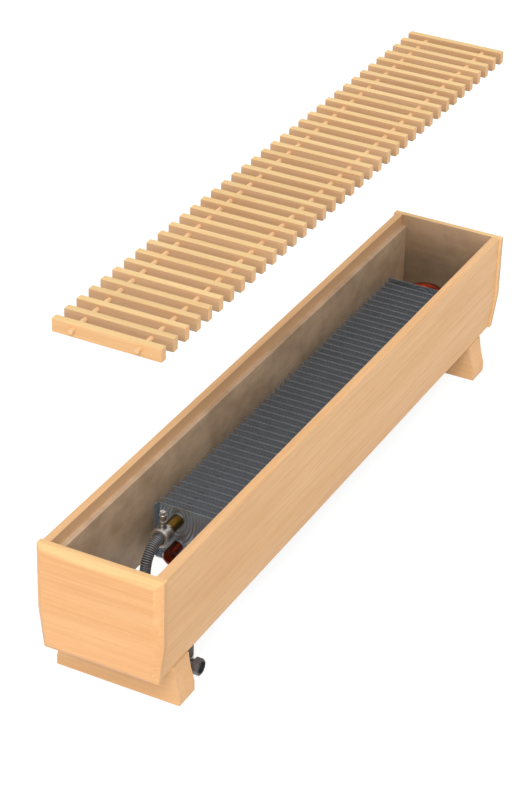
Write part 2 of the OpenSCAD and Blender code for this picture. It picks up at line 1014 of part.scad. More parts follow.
front_board();
back_board();
near_end_board();
far_end_board();
corner_dowels();
near_foot();
far_foot();
foot_screws();
grille_slats();
grille_rods();
fins();
near_end_plate();
far_end_plate();
copper_tubes();
far_bends();
near_bend();
support_bars();
bar_screws();
plate_screws();
supply_header();
header_nut();
hose_adapter();
hose_nut();
vent_body();
vent_screw();
hose_ferrules();
supply_hose();
lockshield_body();
lockshield_spindle();
lockshield_cap();
supply_nut();
return_pipe();
return_elbow();
return_nut();
nut_seals();
valve_bracket();
valve_locknut();
return_bracket();
bracket_screws();
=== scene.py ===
import math
import bpy
from mathutils import Matrix, Vector


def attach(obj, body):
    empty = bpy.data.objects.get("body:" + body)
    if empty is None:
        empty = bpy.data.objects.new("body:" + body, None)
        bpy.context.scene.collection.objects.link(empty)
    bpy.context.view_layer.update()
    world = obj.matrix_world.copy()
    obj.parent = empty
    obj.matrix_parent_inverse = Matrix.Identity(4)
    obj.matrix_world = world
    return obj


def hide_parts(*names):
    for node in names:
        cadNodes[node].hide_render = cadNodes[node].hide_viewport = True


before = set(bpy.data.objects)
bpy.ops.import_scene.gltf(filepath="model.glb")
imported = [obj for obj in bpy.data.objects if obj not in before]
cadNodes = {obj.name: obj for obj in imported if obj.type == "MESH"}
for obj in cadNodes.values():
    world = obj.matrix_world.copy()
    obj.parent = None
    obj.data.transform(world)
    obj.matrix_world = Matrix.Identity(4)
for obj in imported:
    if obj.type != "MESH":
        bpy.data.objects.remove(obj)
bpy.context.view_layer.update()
scene = bpy.context.scene
scene.view_settings.view_transform = "Standard"
mm = 0.001
print("frame in:", len(cadNodes), "nodes")

# camera, at the photograph's viewing angle
shot = {"eye": (-2.4576, -1.1942, 1.8082), "azimuth": -63.318, "elevation": 31.197, "roll": 1.709,
        "lens": 109.2, "sensor": 36, "clip": (0.05, 200)}


def aimCamera(look):
    turn, lift, roll = (math.radians(look[k]) for k in ("azimuth", "elevation", "roll"))
    back = Vector((math.sin(turn) * math.cos(lift), -math.cos(turn) * math.cos(lift), math.sin(lift)))
    side = (-back).cross(Vector((0, 0, 1))).normalized()
    up = side.cross(-back)
    camX = side * math.cos(roll) + up * math.sin(roll)
    camY = up * math.cos(roll) - side * math.sin(roll)
    lens = bpy.data.cameras.new("roomView")
    lens.lens, lens.sensor_width = look["lens"], look["sensor"]
    lens.clip_start, lens.clip_end = look["clip"]
    cam = bpy.data.objects.new("roomView", lens)
    cam.matrix_world = Matrix.Translation(look["eye"]) @ Matrix((camX, camY, back)).transposed().to_4x4()
    scene.collection.objects.link(cam)
    scene.camera = cam


aimCamera(shot)


def srgb(r, g, b):
    def flat(c):
        c = c / 255
        return c / 12.92 if c <= 0.04045 else ((c + 0.055) / 1.055) ** 2.4
    return (flat(r), flat(g), flat(b), 1)


def grey(level):
    return (level, level, level, 1)


def addNode(tree, kind, values=None, **settings):    # each value is a number, a colour or a link
    node = tree.nodes.new(kind)
    for key, value in settings.items():
        setattr(node, key, value)
    for key, value in (values or {}).items():
        if hasattr(value, "is_output"):
            tree.links.new(value, node.inputs[key])
        else:
            node.inputs[key].default_value = value
    return node


def emptyMaterial(name):
    made = bpy.data.materials.new(name)
    made.use_nodes = True
    made.node_tree.nodes.clear()
    return made, made.node_tree


def mathNode(tree, operation, a, b=0.0):
    return addNode(tree, "ShaderNodeMath", {0: a, 1: b}, operation=operation).outputs[0]


def spread(tree, value, low, high, toLow=0.0, toHigh=1.0):
    return addNode(tree, "ShaderNodeMapRange", {"Value": value, "From Min": low, "From Max": high,
                                                "To Min": toLow, "To Max": toHigh}).outputs[0]


def blendColour(tree, share, a, b, mode="MIX"):
    mix = addNode(tree, "ShaderNodeMix", {0: share, 6: a, 7: b}, data_type="RGBA", blend_type=mode)
    return mix.outputs[2]


def tinted(tree, share, colour, tone):    # the colour times the tone where share is 1
    return blendColour(tree, share, colour, blendColour(tree, 1.0, colour, tone, "MULTIPLY"))


def seenDirectly(tree):    # camera, mirror and glass rays
    path = addNode(tree, "ShaderNodeLightPath")
    both = mathNode(tree, "MAXIMUM", path.outputs["Is Camera Ray"], path.outputs["Is Glossy Ray"])
    return mathNode(tree, "MAXIMUM", both, path.outputs["Is Transmission Ray"])


# soft studio light and a pale floor
studio = {"roomLight": 0.66, "keyFrom": (-0.635, -0.224, 0.738), "keyLevel": 1.7, "keyWide": 36,
          "floorHalf": 30, "floorDrop": 0.0003, "floorMatt": 0.8, "floorShade": 0.3, "floorGlow": 0.84}


def lightRoom(look):
    world = bpy.data.worlds.new("paleRoom")
    world.use_nodes = True
    tree = world.node_tree
    tree.nodes.clear()
    level = spread(tree, seenDirectly(tree), 0, 1, look["roomLight"], 1)
    sky = addNode(tree, "ShaderNodeBackground", {"Color": grey(1), "Strength": level})
    addNode(tree, "ShaderNodeOutputWorld", {"Surface": sky.outputs[0]})
    scene.world = world
    lamp = bpy.data.lights.new("keySun", "SUN")
    lamp.energy, lamp.angle = look["keyLevel"], math.radians(look["keyWide"])
    holder = bpy.data.objects.new("keySun", lamp)
    holder.rotation_euler = Vector(look["keyFrom"]).to_track_quat("Z", "Y").to_euler()
    scene.collection.objects.link(holder)


def layFloor(look):
    s, z = look["floorHalf"], -look["floorDrop"]
    mesh = bpy.data.meshes.new("floor")
    mesh.from_pydata([(-s, -s, z), (s, -s, z), (s, s, z), (-s, s, z)], [], [(0, 1, 2, 3)])
    floor = bpy.data.objects.new("floor", mesh)
    scene.collection.objects.link(floor)
    made, tree = emptyMaterial("paleFloor")
    matt = addNode(tree, "ShaderNodeBsdfDiffuse", {"Color": grey(look["floorMatt"])})
    shade = addNode(tree, "ShaderNodeBsdfDiffuse", {"Color": grey(look["floorShade"])})
    glow = addNode(tree, "ShaderNodeEmission", {"Color": grey(1), "Strength": look["floorGlow"]})
    seen = addNode(tree, "ShaderNodeAddShader", {0: shade.outputs[0], 1: glow.outputs[0]})
    both = addNode(tree, "ShaderNodeMixShader",
                   {0: seenDirectly(tree), 1: matt.outputs[0], 2: seen.outputs[0]})
    addNode(tree, "ShaderNodeOutputMaterial", {"Surface": both.outputs[0]})
    mesh.materials.append(made)


lightRoom(studio)
layFloor(studio)
print("camera, light and floor ready")


# helpers for the finishes
def placeOn(tree):    # object coordinates, in metres
    return addNode(tree, "ShaderNodeTexCoord").outputs["Object"]


def facingOf(tree):
    return addNode(tree, "ShaderNodeNewGeometry").outputs["Normal"]


def axesOf(tree, vector):    # its x, y and z
    return addNode(tree, "ShaderNodeSeparateXYZ", {0: vector}).outputs


def absolute(tree, value):
    return mathNode(tree, "ABSOLUTE", value)


def noiseOf(tree, vector, scale, detail, rough=0.5, shift=(0, 0, 0)):
    mapped = addNode(tree, "ShaderNodeMapping", {"Vector": vector, "Scale": scale, "Location": shift})
    return addNode(tree, "ShaderNodeTexNoise", {"Vector": mapped.outputs[0], "Scale": 1, "Detail": detail,
                                                "Roughness": rough}).outputs["Fac"]


def roughOver(tree, value, span, look, room):    # roughness that follows a fine pattern
    return spread(tree, value, *span, look["rough"] + room[0], look["rough"] + room[1])


def closeShader(tree, values, bump, relief):    # relief is the strength and distance of the bump
    raised = addNode(tree, "ShaderNodeBump", {"Strength": relief[0], "Distance": relief[1], "Height": bump})
    shader = addNode(tree, "ShaderNodeBsdfPrincipled", {**values, "Normal": raised.outputs[0]})
    addNode(tree, "ShaderNodeOutputMaterial", {"Surface": shader.outputs[0]})


# wood; each layer has its length, width, detail and the span of noise that it uses
woodGrain = {"broad": (0.34, 0.021, 2, 0.3, 0.7), "streak": (0.16, 0.0036, 3, 0.3, 0.72),
             "fibre": (0.03, 0.0009, 2, 0.25, 0.8), "fleck": (0.006, 0.0007, 1, 0.62, 0.78)}
woodSurface = {"bend": (0.25, 0.05), "sway": 0.012, "seedSteps": (3, 5, 7), "roughRoom": (-0.05, 0.07),
               "fibreDeep": -0.6, "fleckDeep": -1.0, "relief": (0.25, 0.00018), "gloss": 0.35}
rawWood = {"clouds": (22, 22, 34), "detail": 4, "rough": 0.6, "span": (0.38, 0.66), "cloudShare": 0.8,
           "streakShare": 0.25}


def slatTones(tree, look, colour, at, ways):
    number = mathNode(tree, "ROUND", mathNode(tree, "DIVIDE", at[0], look["pitch"]))
    chance = addNode(tree, "ShaderNodeTexWhiteNoise", {"W": number}, noise_dimensions="1D").outputs["Value"]
    shade = spread(tree, chance, 0, 1, look["slatLow"], 1.0)    # each slat a little lighter or darker
    tone = addNode(tree, "ShaderNodeCombineColor", {0: shade, 1: shade, 2: shade}).outputs[0]
    colour = blendColour(tree, 1.0, colour, tone, "MULTIPLY")
    # painted highlight: the faces of the slats that are turned up are lighter
    colour = tinted(tree, spread(tree, ways[2], *look["topFrom"]), colour, look["bleached"])
    # painted shade on the slat sides between the slats, darker towards the bottom; the two outer faces of the
    # row keep their colour
    between = mathNode(tree, "LESS_THAN", absolute(tree, at[0]), look["rowEnd"])
    gapShade = mathNode(tree, "MULTIPLY", spread(tree, absolute(tree, ways[0]), *look["sawnFrom"]), between)
    tone = blendColour(tree, spread(tree, at[2], *look["sawnSpan"]), look["sawnLow"], look["sawnHigh"])
    return tinted(tree, gapShade, colour, tone)


def innerTones(tree, look, colour, at, streak):    # unfinished side towards the exchanger, with painted shade towards the bottom
    insideX = mathNode(tree, "LESS_THAN", absolute(tree, at[0]), look["innerX"])
    insideY = mathNode(tree, "LESS_THAN", absolute(tree, at[1]), look["innerY"])
    cloud = noiseOf(tree, placeOn(tree), rawWood["clouds"], rawWood["detail"], rawWood["rough"])
    cloud = mathNode(tree, "MULTIPLY", spread(tree, cloud, *rawWood["span"]), rawWood["cloudShare"])
    raw = blendColour(tree, cloud, look["inner"], look["innerDark"])
    veins = mathNode(tree, "MULTIPLY", streak, rawWood["streakShare"])
    raw = blendColour(tree, veins, raw, look["innerDark"])
    # painted shade, darker towards the bottom of the case; on the end boards also painted light towards the
    # top
    tone = blendColour(tree, spread(tree, at[2], *look["innerSpan"]), look["innerLow"], look["innerHigh"])
    raw = blendColour(tree, 1.0, raw, tone, "MULTIPLY")
    if "step" in look:    # rebate for the grille
        raw = blendColour(tree, mathNode(tree, "GREATER_THAN", at[2], look["stepAt"]), raw, look["step"])
    colour = blendColour(tree, mathNode(tree, "MULTIPLY", insideX, insideY), colour, raw)
    if "ledge" in look:    # inner face of an end board, beside the long boards
        beside = mathNode(tree, "MULTIPLY", insideX, mathNode(tree, "SUBTRACT", 1.0, insideY))
        colour = tinted(tree, beside, colour, look["ledge"])
    return colour


def woodFinish(name, look):
    made, tree = emptyMaterial(name)
    seed, place = look["seed"], placeOn(tree)

    def scaleOf(length, across):
        return tuple(1 / length if k == look["grain"] else 1 / across for k in range(3))
    bend = noiseOf(tree, place, scaleOf(*woodSurface["bend"]), 1, shift=(seed, seed, seed))
    sway = mathNode(tree, "MULTIPLY", mathNode(tree, "SUBTRACT", bend, 0.5), woodSurface["sway"])
    moved = addNode(tree, "ShaderNodeVectorMath", {0: place, 1: sway}, operation="ADD").outputs[0]
    shift = tuple(seed * k for k in woodSurface["seedSteps"])
    layer = {}
    for kind, (length, across, detail, low, high) in woodGrain.items():
        drawn = noiseOf(tree, moved, scaleOf(length, across), detail, shift=shift)
        layer[kind] = spread(tree, drawn, low, high)
    colour = blendColour(tree, layer["broad"], look["light"], look["warm"])
    for kind, share in (("streak", look["streaks"]), ("fibre", look["fibres"]), ("fleck", look["flecks"])):
        colour = blendColour(tree, mathNode(tree, "MULTIPLY", layer[kind], share), colour, look["dark"])
    at, ways = axesOf(tree, place), axesOf(tree, facingOf(tree))
    if "pitch" in look:
        colour = slatTones(tree, look, colour, at, ways)
    if "inner" in look:
        colour = innerTones(tree, look, colour, at, layer["streak"])
    if "eased" in look:    # painted light and shade on bevels and edges that face up: a painted highlight on the end boards, painted shade on the feet
        colour = tinted(tree, spread(tree, ways[2], *look["upFrom"]), colour, look["eased"])
    # painted shade on the faces of the end boards that are turned sideways
    if "sides" in look:
        colour = tinted(tree, spread(tree, absolute(tree, ways[1]), *look["sideFrom"]), colour, look["sides"])
    rough = roughOver(tree, layer["fibre"], (0, 1), look, woodSurface["roughRoom"])
    height = mathNode(tree, "ADD", mathNode(tree, "MULTIPLY", layer["fibre"], woodSurface["fibreDeep"]),
                      mathNode(tree, "MULTIPLY", layer["fleck"], woodSurface["fleckDeep"]))
    closeShader(tree, {"Base Color": colour, "Roughness": rough, "Specular IOR Level": woodSurface["gloss"]},
                height, woodSurface["relief"])
    return made


metalSurface = {"clouds": (60, 60, 60), "brushed": (700, 700, 700), "stainSpan": (0.42, 0.75),
                "turnedSpan": (0.5, 0.85), "shellSpan": (0.4, 0.6), "brushSpan": (0.2, 0.8),
                "roughRoom": (-0.05, 0.07), "stainRough": 0.1, "relief": (0.08, 0.0002)}


def metalFinish(name, look):
    made, tree = emptyMaterial(name)
    place = placeOn(tree)
    stain = spread(tree, noiseOf(tree, place, metalSurface["clouds"], 3), *metalSurface["stainSpan"])
    brushed = noiseOf(tree, place, look.get("brush", metalSurface["brushed"]), 2)
    dull = mathNode(tree, "MULTIPLY", stain, look["tarnish"])
    colour = blendColour(tree, dull, look["clean"], look["stained"])
    if "axis" in look:    # painted shade on faces turned to this axis
        along = absolute(tree, axesOf(tree, facingOf(tree))[look["axis"]])
        colour = blendColour(tree, spread(tree, along, *metalSurface["turnedSpan"]), colour, look["turnedTo"])
    if "shell" in look:    # painted shade: the bore of a nut is near black, its outer flats keep the metal colour
        outer = addNode(tree, "ShaderNodeAttribute", attribute_name="shell").outputs["Fac"]
        colour = blendColour(tree, spread(tree, outer, *metalSurface["shellSpan"]), look["shell"], colour)
    rough = roughOver(tree, brushed, metalSurface["brushSpan"], look, metalSurface["roughRoom"])
    rough = mathNode(tree, "ADD", rough, mathNode(tree, "MULTIPLY", stain, metalSurface["stainRough"]))
    closeShader(tree, {"Base Color": colour, "Roughness": rough, "Metallic": look.get("metal", 1.0)},
                brushed, metalSurface["relief"])
    return made


plasticSurface = {"clouds": (90, 90, 90), "wornSpan": (0.35, 0.7), "crestSpan": (0.6, 1.0),
                  "pebbleSpan": (0.2, 0.8), "roughRoom": (-0.06, 0.08), "relief": (0.25, 0.0002)}


def plasticFinish(name, look):
    made, tree = emptyMaterial(name)
    place = placeOn(tree)
    worn = spread(tree, noiseOf(tree, place, plasticSurface["clouds"], 2), *plasticSurface["wornSpan"])
    pebble = noiseOf(tree, place, (look["pebble"],) * 3, 2)
    colour = blendColour(tree, worn, look["base"], look["worn"])
    if "crest" in look:    # painted highlight on the crests of the ribs
        onRib = addNode(tree, "ShaderNodeAttribute", attribute_name="crest").outputs["Fac"]
        colour = blendColour(tree, spread(tree, onRib, *plasticSurface["crestSpan"]), colour, look["crest"])
    rough = roughOver(tree, pebble, plasticSurface["pebbleSpan"], look, plasticSurface["roughRoom"])
    closeShader(tree, {"Base Color": colour, "Roughness": rough}, pebble, plasticSurface["relief"])
    return made


endLook = {"grain": 1, "seed": 1.3, "light": srgb(252, 197, 140), "warm": srgb(246, 186, 127),
           "dark": srgb(206, 142, 88), "streaks": 0.3, "fibres": 0.22, "flecks": 0.2, "rough": 0.5,
           "inner": srgb(178, 152, 124), "innerDark": srgb(150, 126, 100), "innerX": 0.4843, "innerY": 0.0708,
           "innerSpan": (0.135, 0.2), "innerLow": (0.6, 0.6, 0.59, 1), "innerHigh": (1.5, 1.45, 1.42, 1),
           "ledge": (0.97, 1.22, 1.45, 1), "eased": (1.02, 1.19, 1.2, 1), "upFrom": (0.3, 0.5),
           "sides": (0.86, 0.94, 1.0, 1), "sideFrom": (0.8, 0.95)}
boardLook = {"grain": 0, "seed": 4.1, "light": srgb(248, 201, 148), "warm": srgb(240, 190, 132),
             "dark": srgb(196, 142, 92), "streaks": 0.34, "fibres": 0.22, "flecks": 0.2, "rough": 0.5,
             "inner": srgb(216, 190, 160), "innerDark": srgb(176, 150, 122), "innerX": 0.5, "innerY": 0.0708,
             "innerSpan": (0.09, 0.175), "innerLow": (0.78, 0.77, 0.75, 1), "innerHigh": (1.0, 1.0, 1.0, 1),
             "stepAt": 0.1853, "step": srgb(226, 184, 140)}
footLook = {"grain": 1, "seed": 7.7, "light": srgb(247, 200, 149), "warm": srgb(240, 189, 132),
            "dark": srgb(198, 143, 92), "streaks": 0.32, "fibres": 0.22, "flecks": 0.2, "rough": 0.52,
            "eased": (0.82, 0.98, 1.12, 1), "upFrom": (0.6, 0.85)}
# slats: their upward faces carry a painted highlight, and their sides between the slats a painted shade
slatLook = {"grain": 1, "seed": 2.9, "light": srgb(250, 203, 149), "warm": srgb(243, 192, 136),
            "dark": srgb(206, 150, 94), "streaks": 0.3, "fibres": 0.22, "flecks": 0.2, "rough": 0.5,
            "pitch": 0.026, "slatLow": 0.93, "bleached": (1.03, 1.18, 1.14, 1), "topFrom": (0.6, 0.95),
            "rowEnd": 0.4725, "sawnFrom": (0.5, 0.9), "sawnSpan": (0.4752, 0.4922),
            "sawnHigh": (0.84, 0.88, 1.0, 1), "sawnLow": (0.54, 0.58, 0.68, 1)}
dowelLook = {"grain": 0, "seed": 9.2, "light": srgb(250, 212, 162), "warm": srgb(243, 202, 150),
             "dark": srgb(206, 158, 108), "streaks": 0.3, "fibres": 0.2, "flecks": 0.15, "rough": 0.5}
finLook = {"clean": (0.375, 0.395, 0.425, 1), "stained": (0.28, 0.295, 0.32, 1), "tarnish": 0.4,
           "rough": 0.74, "brush": (900, 300, 300), "axis": 2, "turnedTo": (0.16, 0.165, 0.175, 1)}
plateLook = {"clean": (0.36, 0.41, 0.45, 1), "stained": (0.27, 0.31, 0.35, 1), "tarnish": 0.35, "rough": 0.5}
copperLook = {"clean": (0.24, 0.034, 0.012, 1), "stained": (0.085, 0.01, 0.004, 1), "tarnish": 0.6,
              "rough": 0.3}
brassLook = {"clean": (0.18, 0.1, 0.015, 1), "stained": (0.065, 0.034, 0.007, 1), "tarnish": 0.5,
             "rough": 0.28}
nickelLook = {"clean": (0.46, 0.45, 0.43, 1), "stained": (0.28, 0.27, 0.26, 1), "tarnish": 0.35,
              "rough": 0.32}
ringLook = {"clean": (0.66, 0.64, 0.6, 1), "stained": (0.42, 0.4, 0.37, 1), "tarnish": 0.3, "rough": 0.36}
steelLook = {"clean": (0.5, 0.51, 0.52, 1), "stained": (0.36, 0.37, 0.39, 1), "tarnish": 0.5, "rough": 0.45}
screwLook = {"clean": (0.6, 0.6, 0.58, 1), "stained": (0.42, 0.4, 0.36, 1), "tarnish": 0.35, "rough": 0.34}
nutLook = {"clean": (0.165, 0.15, 0.155, 1), "stained": (0.1, 0.09, 0.097, 1), "tarnish": 0.4, "rough": 0.36,
           "metal": 0.4, "axis": 1, "turnedTo": (0.018, 0.018, 0.02, 1), "shell": (0.018, 0.018, 0.02, 1)}
hoseLook = {"base": srgb(34, 34, 37), "worn": srgb(46, 46, 50), "crest": srgb(134, 133, 134), "pebble": 2500,
            "rough": 0.5}
sleeveLook = {"base": srgb(58, 57, 58), "worn": srgb(80, 78, 78), "pebble": 1800, "rough": 0.42}
capLook = {"base": srgb(62, 58, 55), "worn": srgb(84, 79, 74), "pebble": 1600, "rough": 0.42}
sealLook = {"base": srgb(78, 72, 68), "worn": srgb(98, 92, 86), "pebble": 3000, "rough": 0.75}

finishes = {}
for slot, name, make, look in (
        ("board_wood", "boardWood", woodFinish, boardLook), ("end_wood", "endWood", woodFinish, endLook),
        ("foot_wood", "footWood", woodFinish, footLook), ("slat_wood", "slatWood", woodFinish, slatLook),
        ("dowel_wood", "dowelWood", woodFinish, dowelLook), ("fin_sheet", "finSheet", metalFinish, finLook),
        ("plate_sheet", "plateSheet", metalFinish, plateLook),
        ("copper", "copperTube", metalFinish, copperLook), ("bar_steel", "barSteel", metalFinish, steelLook),
        ("screw_steel", "screwSteel", metalFinish, screwLook),
        ("fitting_brass", "fittingBrass", metalFinish, brassLook),
        ("nickel_brass", "nickelBrass", metalFinish, nickelLook),
        ("ring_steel", "ringSteel", metalFinish, ringLook),
        ("dark_sleeve", "darkSleeve", plasticFinish, sleeveLook),
        ("hose_rubber", "hoseRubber", plasticFinish, hoseLook),
        ("black_nut", "blackNut", metalFinish, nutLook),
        ("cap_plastic", "capPlastic", plasticFinish, capLook),
        ("seal_rubber", "sealRubber", plasticFinish, sealLook)):
    finishes[slot] = make(name, look)
print("finishes made:", len(finishes))

# tools for the pieces; angles in degrees, lengths in metres
bothSides = (-1, 1)
edges = {"samePoint": 0.00001, "smoothTo": 38, "bevelFrom": 35, "longFrom": 0.002, "bevelSteps": 2}


def geometryTree(name, build):
    tree = bpy.data.node_groups.new(name, "GeometryNodeTree")
    tree.interface.new_socket("Geometry", in_out="INPUT", socket_type="NodeSocketGeometry")
    tree.interface.new_socket("Geometry", in_out="OUTPUT", socket_type="NodeSocketGeometry")
    start = addNode(tree, "NodeGroupInput")
    addNode(tree, "NodeGroupOutput", {0: build(tree, start.outputs[0])})
    return tree


def joinCorners(tree, mesh):    # imported normals off, split corners joined
    bare = addNode(tree, "GeometryNodeRemoveAttribute", {"Geometry": mesh, "Name": "custom_normal"})
    joined = addNode(tree, "GeometryNodeMergeByDistance",
                     {"Geometry": bare.outputs[0], "Distance": edges["samePoint"]})
    smooth = addNode(tree, "GeometryNodeSetShadeSmooth",
                     {"Geometry": joined.outputs[0], "Shade Smooth": True})
    return smooth.outputs[0]


def smoothRound(tree, mesh):    # smooth, but sharp where faces meet at a clear angle
    smooth = addNode(tree, "GeometryNodeSetShadeSmooth", {"Geometry": mesh, "Shade Smooth": True})
    angle = addNode(tree, "GeometryNodeInputMeshEdgeAngle").outputs[0]
    sharp = addNode(tree, "FunctionNodeCompare", {0: angle, 1: math.radians(edges["smoothTo"])},
                    operation="GREATER_THAN")
    shaded = addNode(tree, "GeometryNodeSetShadeSmooth",
                     {"Geometry": smooth.outputs[0], "Selection": sharp.outputs[0], "Shade Smooth": False},
                     domain="EDGE")
    return shaded.outputs[0]


def markLongEdges(tree, mesh):    # long sharp edges get a bevel, the rims of holes don't
    joined = joinCorners(tree, mesh)
    angle = addNode(tree, "GeometryNodeInputMeshEdgeAngle").outputs[0]
    ends = addNode(tree, "GeometryNodeInputMeshEdgeVertices").outputs
    length = addNode(tree, "ShaderNodeVectorMath", {0: ends[2], 1: ends[3]}, operation="DISTANCE").outputs[1]
    sharp = mathNode(tree, "GREATER_THAN", angle, math.radians(edges["bevelFrom"]))
    weight = mathNode(tree, "MULTIPLY", sharp, mathNode(tree, "GREATER_THAN", length, edges["longFrom"]))
    marked = addNode(tree, "GeometryNodeStoreNamedAttribute",
                     {"Geometry": joined, "Name": "bevel_weight_edge", "Value": weight},
                     data_type="FLOAT", domain="EDGE")
    return marked.outputs[0]


joinTree = geometryTree("joinCorners", joinCorners)
woodTree = geometryTree("markLongEdges", markLongEdges)
roundTree = geometryTree("smoothRound", smoothRound)


def shadeRound(piece):
    piece.modifiers.new("roundShade", "NODES").node_group = roundTree
    piece.modifiers.new("flatFaces", "WEIGHTED_NORMAL").keep_sharp = True


def thickenSheet(piece, thickness):    # half of it to each side of the faces
    piece.modifiers.new("joined", "NODES").node_group = joinTree
    thick = piece.modifiers.new("sheetThickness", "SOLIDIFY")
    thick.thickness, thick.offset = thickness * mm, 0
    piece.modifiers.new("roundShade", "NODES").node_group = roundTree


def dressNode(node, finish, ease, method="ANGLE"):    # WEIGHT bevels the marked edges alone
    piece = cadNodes[node]
    for place in piece.material_slots:
        place.material = finishes[finish]
    piece.modifiers.new("joined", "NODES").node_group = woodTree if method == "WEIGHT" else joinTree
    if ease:
        bevel = piece.modifiers.new("easedEdges", "BEVEL")
        bevel.width, bevel.segments, bevel.limit_method = ease * mm, edges["bevelSteps"], method
        bevel.angle_limit, bevel.use_clamp_overlap = math.radians(edges["bevelFrom"]), True
        bevel.miter_outer = "MITER_ARC"
    shadeRound(piece)


def newPiece(name, build, finish, body, node, sheet=0):
    mesh = bpy.data.meshes.new(name)
    mesh.from_pydata([Vector(p) * mm for p in build.points], [], build.faces)
    mesh.validate()
    mesh.materials.append(finishes[finish])
    piece = bpy.data.objects.new(name, mesh)
    scene.collection.objects.link(piece)
    if sheet:
        thickenSheet(piece, sheet)
    else:
        shadeRound(piece)
    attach(piece, body)
    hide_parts(node)
    return piece


class Build:    # points and faces of one piece, in millimetres
    def __init__(self):
        self.points, self.faces = [], []

    def add(self, points, faces, place=None):
        shift = len(self.points)
        self.points += [place @ Vector(p) if place else Vector(p) for p in points]
        self.faces += [tuple(i + shift for i in f) for f in faces]

    def quad(self, *points):
        self.add(points, [(0, 1, 2, 3)])

    def rings(self, rings, place=None, caps=True, loop=False):    # loop joins the last ring to the first
        n, last, points = len(rings[0]), len(rings) - 1, [p for r in rings for p in r]
        faces = [(i * n + k, i * n + (k + 1) % n, (i + 1) * n + (k + 1) % n, (i + 1) * n + k)
                 for i in range(last) for k in range(n)]
        if loop:
            faces += [(last * n + k, last * n + (k + 1) % n, (k + 1) % n, k) for k in range(n)]
        elif caps:
            faces += [tuple(reversed(range(n))), tuple(last * n + k for k in range(n))]
        self.add(points, faces, place)


def circle(radius, height, sides, shape=None):
    points = []
    for k in range(sides):
        a = 2 * math.pi * k / sides
        r = shape(a, height, radius) if shape else radius
        points.append((r * math.cos(a), r * math.sin(a), height))
    return points


def turned(build, profile, place, sides, loop=False, shape=None):    # profile of (radius, height)
    leastRadius = 0.001
    build.rings([circle(max(r, leastRadius), h, sides, shape) for r, h in profile], place, loop=loop)


spins = {"Z": (0, "X"), "-Z": (180, "X"), "X": (90, "Y"), "-X": (-90, "Y"), "Y": (-90, "X"), "-Y": (90, "X")}


def placeAt(origin, way="Z"):    # turns a piece's own Z axis to this way
    angle, axis = spins[way]
    return Matrix.Translation(origin) @ Matrix.Rotation(math.radians(angle), 4, axis)


# wooden case, feet and grille; the last number is the rounding of the edges in millimetres
for node, finish, ease in (("front_board", "board_wood", 0.7), ("back_board", "board_wood", 0.7),
                           ("near_end_board", "end_wood", 0.8), ("far_end_board", "end_wood", 0.8),
                           ("near_foot", "foot_wood", 0.8), ("far_foot", "foot_wood", 0.8),
                           ("grille_slats", "slat_wood", 0.6)):
    dressNode(node, finish, ease, "WEIGHT")
for node, ease in (("grille_rods", 0.5), ("corner_dowels", 0.4)):
    dressNode(node, "dowel_wood", ease)
print("wood dressed")

# fins and end plates; a collar is a line of (width past the hole, depth), the hem of (x, height over the top)
exchanger = {"near": -272.0, "pitch": 14.3, "fins": 46, "width": 100.0, "low": 67.0, "high": 142.0,
             "tubes": [(-26, 86), (-26, 125), (20, 86), (20, 125)], "hole": 7.55}
finCut = {"wave": 4.4, "deep": 0.55, "sheet": 0.35, "shift": 0.4, "stepsPerWave": 6, "stepsPerHole": 12,
          "touch": 0.01, "margin": 1.4, "waveEnd": 3.2,
          "hem": [(0, -1.4), (0, -0.5), (-0.25, -0.12), (-0.7, 0), (-1.6, 0), (-1.98, -0.2), (-2.1, -0.6),
                  (-2.1, -1.5)],
          "collar": [(0.9, 0), (0.25, 0.25), (0, 0.7), (0, 13.5)], "collarSides": 24}


def rollCollars(build, look, cut, x, way):
    for y, z in look["tubes"]:
        rings = [circle(look["hole"] + out, depth, cut["collarSides"]) for out, depth in cut["collar"]]
        build.rings(rings, placeAt((x, y, z), way), caps=False)


def pressedFin(look, cut):    # one fin as columns that stop at the tube holes
    build = Build()
    half, r, low, high = look["width"] / 2, look["hole"], look["low"], look["high"]
    count, steps = int(look["width"] / cut["wave"] * cut["stepsPerWave"]), cut["stepsPerHole"]
    ys = {round(-half + look["width"] * k / count, 4) for k in range(count + 1)}
    for y, z in look["tubes"]:
        ys |= {round(y + r * math.cos(math.pi * k / steps), 4) for k in range(steps + 1)}
    ys = sorted(ys)

    def bulge(y):
        return cut["deep"] / 2 * math.cos(2 * math.pi * y / cut["wave"])

    def gaps(y):    # heights where the sheet is cut away at this y
        found = []
        for ty, tz in look["tubes"]:
            reach = r * r - (y - ty) ** 2
            if reach > -cut["touch"]:
                d = math.sqrt(max(reach, 0))
                found.append((tz - d, tz + d))
        return sorted(found)

    for a, b in zip(ys, ys[1:]):
        holes = gaps((a + b) / 2)
        levels = []
        for y in (a, b):
            own = gaps(y) if holes else []
            levels.append([low, low + cut["margin"], *(z for pair in own for z in pair),
                           high - cut["waveEnd"], high - cut["margin"]])
        waved = [0, 1] + [1] * (2 * len(holes)) + [1, 0]
        for i in range(len(levels[0]) - 1):
            if 1 <= i <= 2 * len(holes) and i % 2 == 0:    # inside a hole
                continue
            corners = ((a, levels[0][i], waved[i]), (b, levels[1][i], waved[i]),
                       (b, levels[1][i + 1], waved[i + 1]), (a, levels[0][i + 1], waved[i + 1]))
            build.quad(*((bulge(y) * share, y, z) for y, z, share in corners))
    for (x0, z0), (x1, z1) in zip(cut["hem"], cut["hem"][1:]):    # folded upper edge
        build.quad((x0, -half, high + z0), (x0, half, high + z0),
                   (x1, half, high + z1), (x1, -half, high + z1))
    rollCollars(build, look, cut, 0, "X")
    return build


def stackFins(look, cut):
    one, build = pressedFin(look, cut), Build()
    for k in range(1, look["fins"] + 1):
        x = look["near"] + k * look["pitch"] + cut["shift"]
        build.add(one.points, one.faces, Matrix.Translation((x, 0, 0)))
    newPiece("finStack", build, "fin_sheet", "case", "fins", cut["sheet"])


